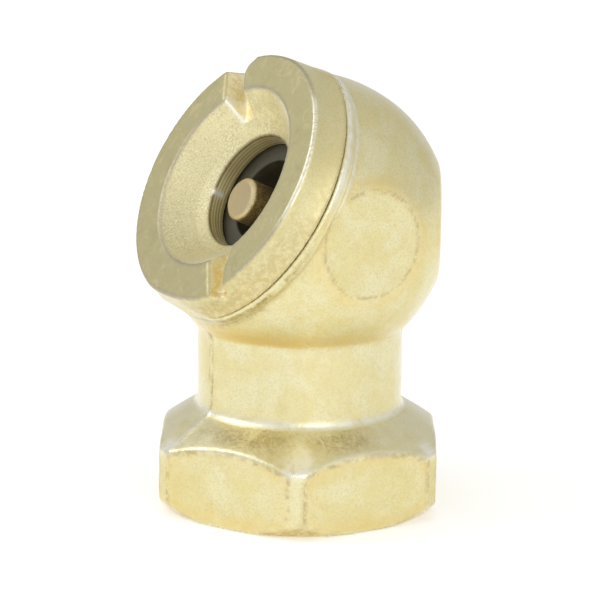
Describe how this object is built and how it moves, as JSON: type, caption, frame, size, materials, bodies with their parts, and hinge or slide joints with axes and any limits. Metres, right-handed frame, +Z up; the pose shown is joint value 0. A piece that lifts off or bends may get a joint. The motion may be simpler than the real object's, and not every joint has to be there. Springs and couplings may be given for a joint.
{
  "type": "ball foot tyre air chuck",
  "caption": "Angled brass tyre air chuck: a hexagonal threaded inlet foot, a round neck and a ball body with a dished, slotted mouth whose centre pin opens a tyre valve.",
  "frame": {"origin": "centre of the hexagonal foot's bottom face, on the axis of the inlet thread", "axes": "+Z up along the inlet thread axis; the mouth faces -Y and 30 degrees upwards; +X is to the right when the mouth is seen from the front"},
  "size_m": [0.019, 0.021, 0.0306],
  "materials": {
    "forged_brass": "tumbled forging, mottled satin, lightly stained in the corners",
    "turned_brass": "turned and tumbled, smooth satin",
    "inner_brass": "turned, lightly scratched",
    "black_rubber": "matt moulded rubber",
    "red_fibre": "vulcanised fibre washer",
    "spring_steel": "drawn spring wire"
  },
  "bodies": {
    "housing": {"body_casting": "forged_brass", "face_ring": "turned_brass", "seat_bushing": "inner_brass", "bushing_gasket": "red_fibre", "return_spring": "spring_steel"},
    "face_seal": {"face_gasket": "black_rubber"},
    "depressor": {"depressor_pin": "inner_brass"},
    "shutoff": {"poppet": "inner_brass", "poppet_seal": "black_rubber"}
  },
  "joints": [
    {"name": "face_press", "type": "slide", "parent": "housing", "child": "face_seal", "axis": [0, 0.866, -0.5], "range_m": [0, 0.001], "stiffness_N_per_m": 600, "springref_m": -0.002},
    {"name": "depressor_rock", "type": "hinge", "parent": "face_seal", "child": "depressor", "pos_m": [0, 0.00294, 0.01766], "axis": [-1, 0, 0], "range_deg": [0, 10.2]},
    {"name": "poppet_lift", "type": "slide", "parent": "housing", "child": "shutoff", "axis": [0, 0.866, -0.5], "range_m": [0, 0.001], "deforming": ["return_spring"]}
  ],
  "couplings": [
    {"joint": "poppet_lift", "follows": "face_press", "ratio": 1}
  ]
}
